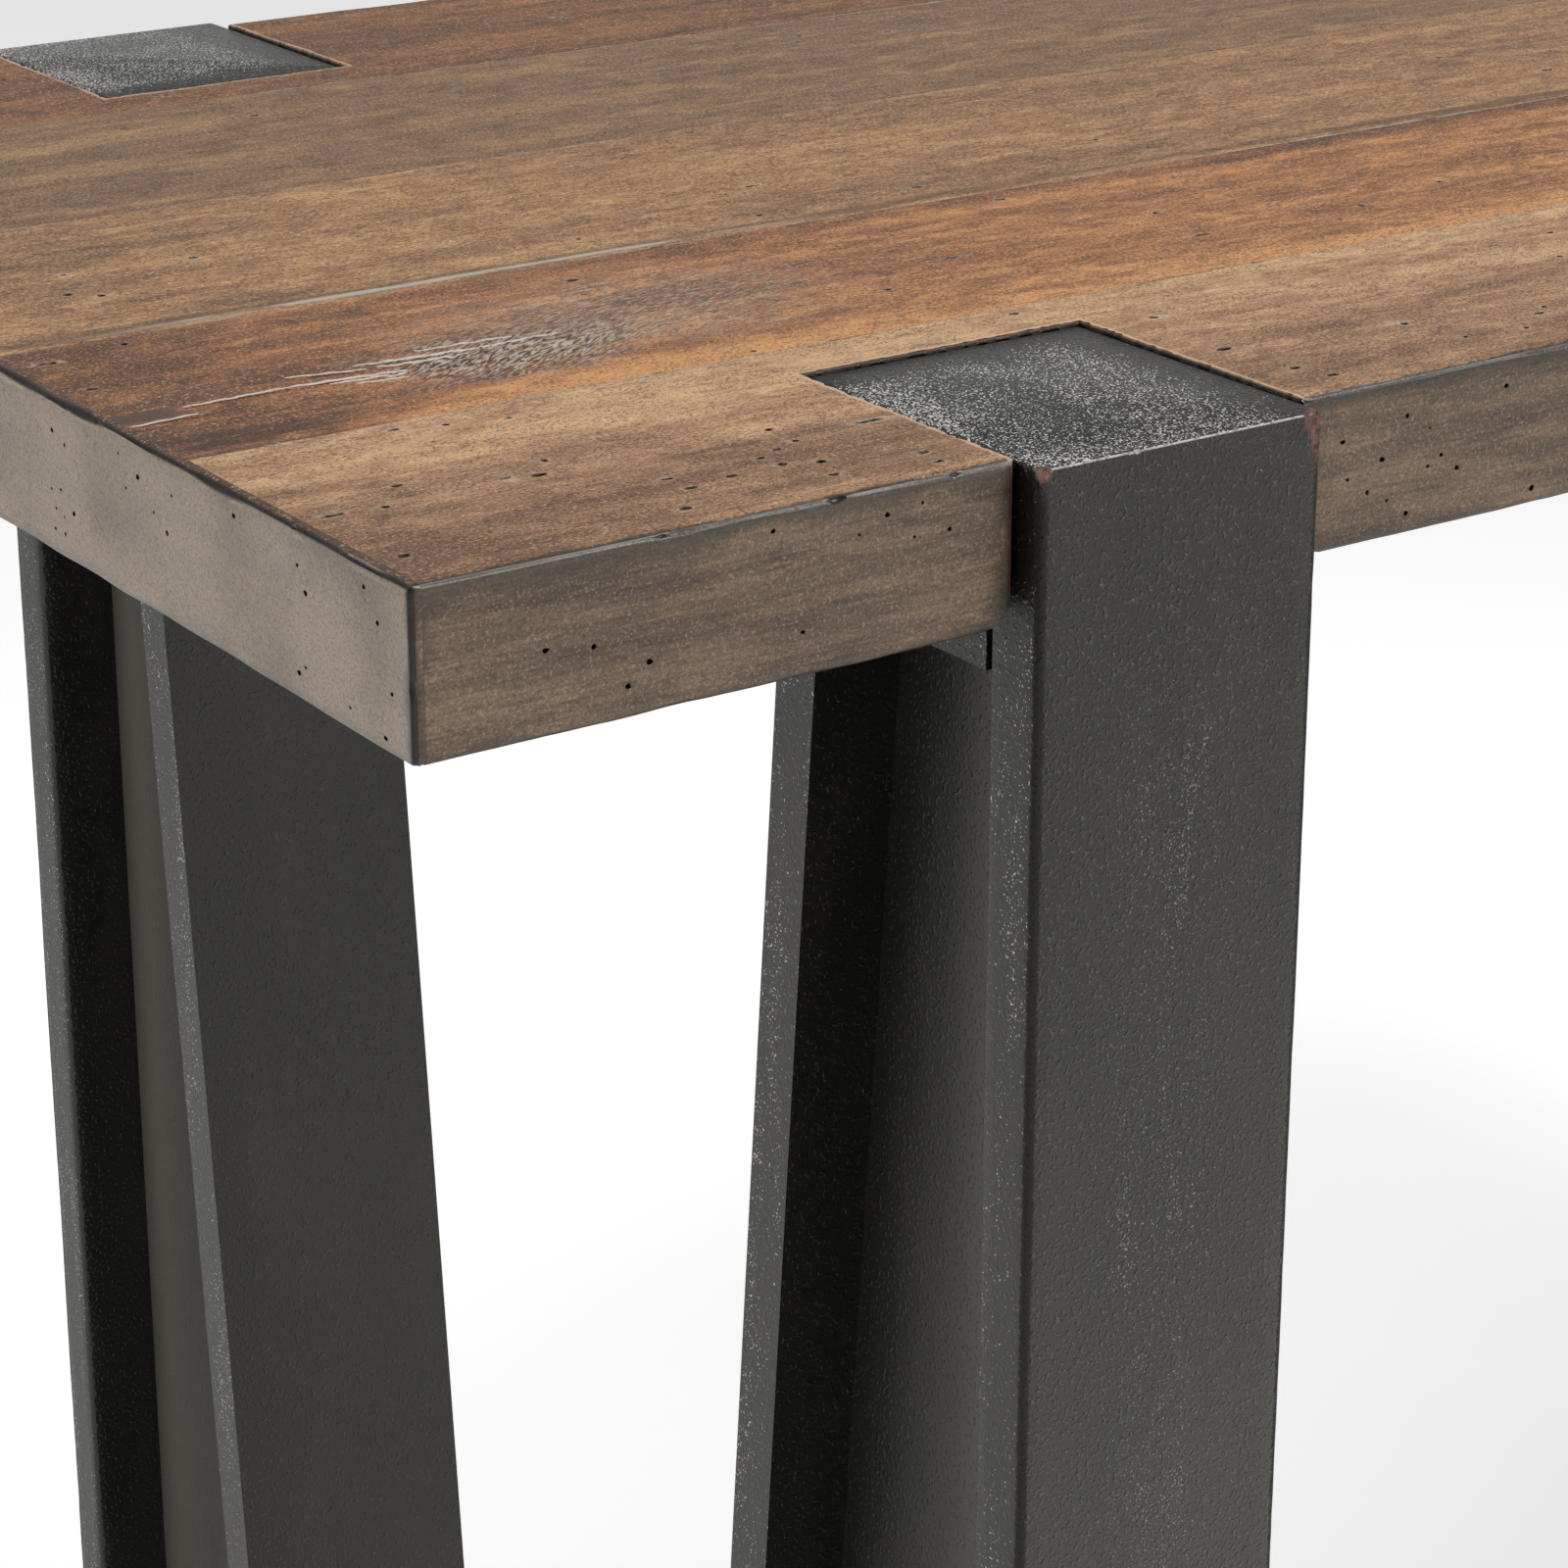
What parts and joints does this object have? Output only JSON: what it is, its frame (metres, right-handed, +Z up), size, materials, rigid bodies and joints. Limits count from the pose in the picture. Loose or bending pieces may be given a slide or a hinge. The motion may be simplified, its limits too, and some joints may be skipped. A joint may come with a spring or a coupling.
{
  "type": "console table",
  "caption": "Console table: a thick board top on steel I-section legs whose outer flanges rise through notches in its edge and end in cap plates let into the surface.",
  "frame": {"origin": "on the floor, under the centre of the table", "axes": "+X along the table to the right as seen from the front, +Y to the back, +Z up"},
  "size_m": [1.27, 0.5232, 0.762],
  "materials": {
    "wood_golden": "stained, lacquered and distressed",
    "wood_red_brown": "stained, lacquered and distressed",
    "wood_olive": "stained, lacquered and distressed",
    "wood_edge": "stained, lacquered and distressed",
    "wood_inner": "bare",
    "leg_paint": "hammered charcoal black, satin",
    "bolt_zinc": "zinc plated",
    "insert_brass": "plain",
    "glide_rubber": "matt"
  },
  "bodies": {
    "root": {"board_front": "wood_golden", "board_second": "wood_red_brown", "board_middle": "wood_olive", "board_fourth": "wood_golden", "board_rear": "wood_red_brown", "end_strip_left": "wood_edge", "end_strip_right": "wood_edge", "seam_tongue_1": "wood_inner", "seam_tongue_2": "wood_inner", "seam_tongue_3": "wood_inner", "seam_tongue_4": "wood_inner", "front_left_outer_flange": "leg_paint", "front_left_inner_flange": "leg_paint", "front_left_web": "leg_paint", "front_left_cap_plate": "leg_paint", "front_left_mount_plate": "leg_paint", "front_left_foot_plate": "leg_paint", "front_right_outer_flange": "leg_paint", "front_right_inner_flange": "leg_paint", "front_right_web": "leg_paint", "front_right_cap_plate": "leg_paint", "front_right_mount_plate": "leg_paint", "front_right_foot_plate": "leg_paint", "rear_left_outer_flange": "leg_paint", "rear_left_inner_flange": "leg_paint", "rear_left_web": "leg_paint", "rear_left_cap_plate": "leg_paint", "rear_left_mount_plate": "leg_paint", "rear_left_foot_plate": "leg_paint", "rear_right_outer_flange": "leg_paint", "rear_right_inner_flange": "leg_paint", "rear_right_web": "leg_paint", "rear_right_cap_plate": "leg_paint", "rear_right_mount_plate": "leg_paint", "rear_right_foot_plate": "leg_paint", "leg_bolts": "bolt_zinc", "bolt_washers": "bolt_zinc", "threaded_inserts": "insert_brass", "floor_glides": "glide_rubber"}
  },
  "joints": []
}
